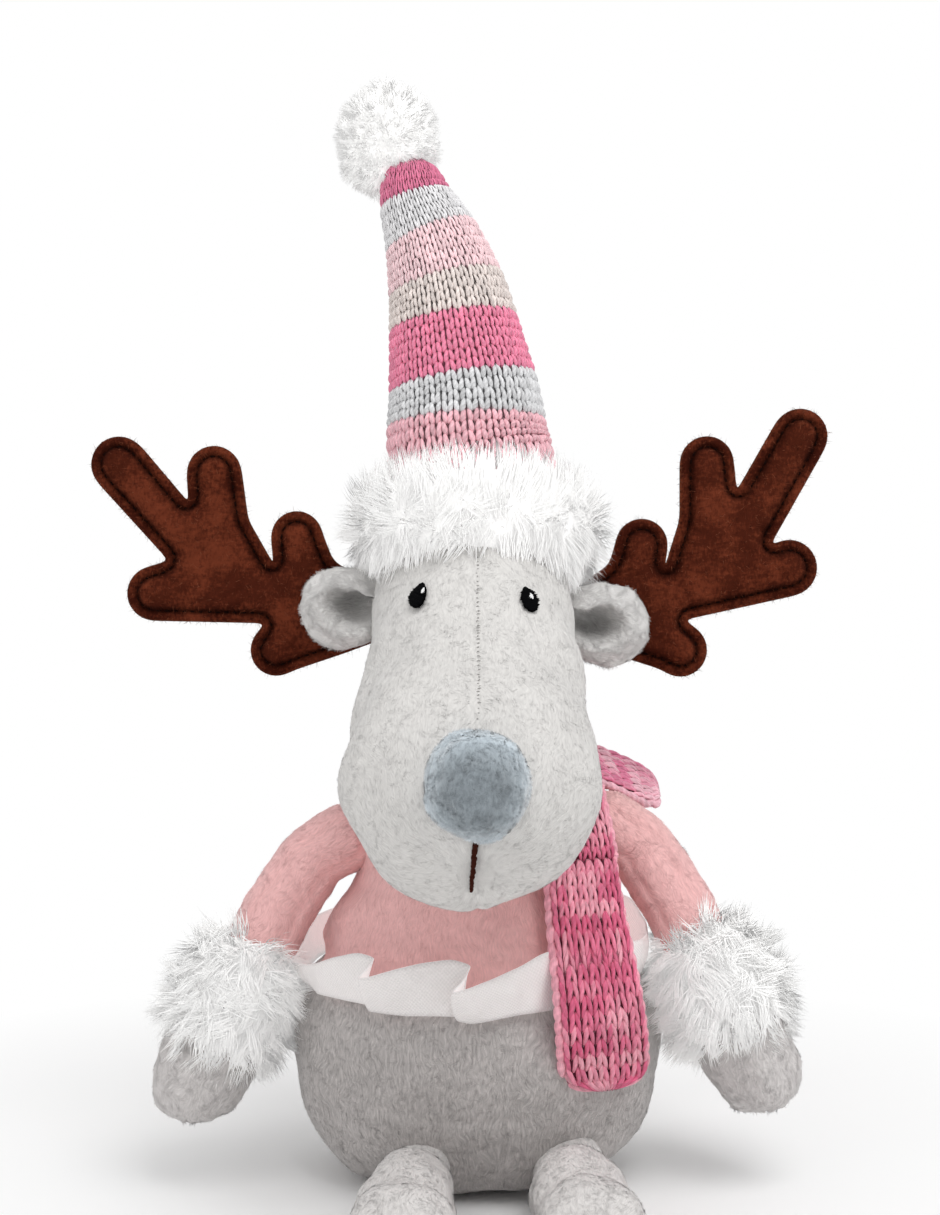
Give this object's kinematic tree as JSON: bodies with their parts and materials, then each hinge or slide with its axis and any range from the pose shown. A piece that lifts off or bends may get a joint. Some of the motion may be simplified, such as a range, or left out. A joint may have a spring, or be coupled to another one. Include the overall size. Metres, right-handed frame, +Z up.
{
  "type": "plush deer",
  "caption": "Seated stuffed deer toy with a tall striped knitted hat, fur trim, felt antlers, a knitted scarf and a gathered ribbon at the waist.",
  "frame": {"origin": "middle of the flat seat under the belly, which stands on z = 0", "axes": "+Z up, the toy faces -Y, its own left side is +X"},
  "size_m": [0.2596, 0.1873, 0.3795],
  "materials": {
    "plush_mid_grey": "short soft pile",
    "plush_pale_grey": "short soft pile",
    "plush_pink": "brushed fleece",
    "filling": "loose polyester fibre",
    "bag_cloth": "plain woven bag of pellets",
    "ribbon_white": "ribbed woven ribbon",
    "knit_pink": "plain knitted yarn",
    "felt_nose": "brushed felt",
    "felt_brown": "felt with a sewn border",
    "thread_brown": "embroidery thread",
    "thread_black": "embroidery thread",
    "thread_white": "embroidery thread",
    "fur_white": "long fluffy pile"
  },
  "bodies": {
    "torso": {"seat_cover": "plush_mid_grey", "chest_cover": "plush_pink", "body_filling": "filling", "pellet_bag": "bag_cloth", "waist_ribbon": "ribbon_white", "scarf_wrap": "knit_pink"},
    "neck": {"neck_roll": "filling"},
    "head": {"head_cover": "plush_pale_grey", "head_filling": "filling", "nose": "felt_nose", "mouth_thread": "thread_brown", "eye_right": "thread_black", "eye_left": "thread_black", "eye_glint_right": "thread_white", "eye_glint_left": "thread_white", "hat_fur_band": "fur_white"},
    "ear_right": {"ear_back_right": "plush_pale_grey", "ear_lining_right": "plush_mid_grey"},
    "ear_left": {"ear_back_left": "plush_pale_grey", "ear_lining_left": "plush_mid_grey"},
    "antler_right": {"antler_front_felt_right": "felt_brown", "antler_back_felt_right": "felt_brown", "antler_filling_right": "filling"},
    "antler_left": {"antler_front_felt_left": "felt_brown", "antler_back_felt_left": "felt_brown", "antler_filling_left": "filling"},
    "hat": {"hat_knit": "knit_pink", "hat_filling": "filling"},
    "pompom": {"hat_pompom": "fur_white", "pompom_cord": "thread_white"},
    "arm_right": {"sleeve_right": "plush_pink", "sleeve_filling_right": "filling", "fur_cuff_right": "fur_white", "hand_right": "plush_mid_grey", "hand_filling_right": "filling"},
    "arm_left": {"sleeve_left": "plush_pink", "sleeve_filling_left": "filling", "fur_cuff_left": "fur_white", "hand_left": "plush_mid_grey", "hand_filling_left": "filling"},
    "lower_leg_right": {"leg_right": "plush_pale_grey", "leg_filling_right": "filling"},
    "lower_leg_left": {"leg_left": "plush_pale_grey", "leg_filling_left": "filling"},
    "front_tail": {"scarf_front_tail": "knit_pink"},
    "shoulder_tail": {"scarf_shoulder_tail": "knit_pink"}
  },
  "joints": [
    {"name": "head_turn", "type": "hinge", "parent": "torso", "child": "neck", "pos_m": [0, 0.0085, 0.1565], "axis": [0, 0, 1], "range_deg": [-20, 20]},
    {"name": "head_nod", "type": "hinge", "parent": "neck", "child": "head", "pos_m": [0, 0.0085, 0.1565], "axis": [-1, 0, 0], "range_deg": [0, 12]},
    {"name": "ear_right_flop", "type": "hinge", "parent": "head", "child": "ear_right", "pos_m": [-0.0414, -0.0065, 0.193], "axis": [0, 1, 0], "range_deg": [-20, 10], "stiffness_Nm_per_rad": 0.01},
    {"name": "ear_left_flop", "type": "hinge", "parent": "head", "child": "ear_left", "pos_m": [0.04143, -0.0065, 0.189], "axis": [0, -1, 0], "range_deg": [-20, 10], "stiffness_Nm_per_rad": 0.01},
    {"name": "antler_right_bend", "type": "hinge", "parent": "head", "child": "antler_right", "pos_m": [-0.03485, 0.014, 0.191], "axis": [0, 0, -1], "range_deg": [-8, 25], "stiffness_Nm_per_rad": 0.02},
    {"name": "antler_left_bend", "type": "hinge", "parent": "head", "child": "antler_left", "pos_m": [0.03485, 0.014, 0.191], "axis": [0, 0, 1], "range_deg": [-8, 25], "stiffness_Nm_per_rad": 0.02},
    {"name": "hat_lean", "type": "hinge", "parent": "head", "child": "hat", "pos_m": [0, 0.0075, 0.239], "axis": [0, 1, 0], "range_deg": [-8, 8], "stiffness_Nm_per_rad": 0.2},
    {"name": "pompom_swing", "type": "hinge", "parent": "hat", "child": "pompom", "pos_m": [-0.0233, 0.0155, 0.3518], "axis": [0, 1, 0], "range_deg": [-15, 15], "stiffness_Nm_per_rad": 0.02},
    {"name": "arm_right_swing", "type": "hinge", "parent": "torso", "child": "arm_right", "pos_m": [-0.0425, 0.0015, 0.1145], "axis": [-0.9063, 0.4226, 0], "range_deg": [0, 75]},
    {"name": "arm_left_swing", "type": "hinge", "parent": "torso", "child": "arm_left", "pos_m": [0.0425, 0.0015, 0.1185], "axis": [-0.9063, -0.4226, 0], "range_deg": [0, 75]},
    {"name": "leg_right_swing", "type": "hinge", "parent": "torso", "child": "lower_leg_right", "pos_m": [-0.019, -0.04577, 0.013], "axis": [1, 0, 0], "range_deg": [0, 60]},
    {"name": "leg_left_swing", "type": "hinge", "parent": "torso", "child": "lower_leg_left", "pos_m": [0.03, -0.04059, 0.013], "axis": [1, 0, 0], "range_deg": [0, 60]},
    {"name": "front_tail_lift", "type": "hinge", "parent": "torso", "child": "front_tail", "pos_m": [0.0345, -0.02753, 0.1105], "axis": [-0.9136, -0.4067, 0], "range_deg": [0, 40]},
    {"name": "shoulder_tail_lift", "type": "hinge", "parent": "torso", "child": "shoulder_tail", "pos_m": [0.0335, 0.0162, 0.1398], "axis": [0, -0.891, -0.454], "range_deg": [0, 40]}
  ]
}
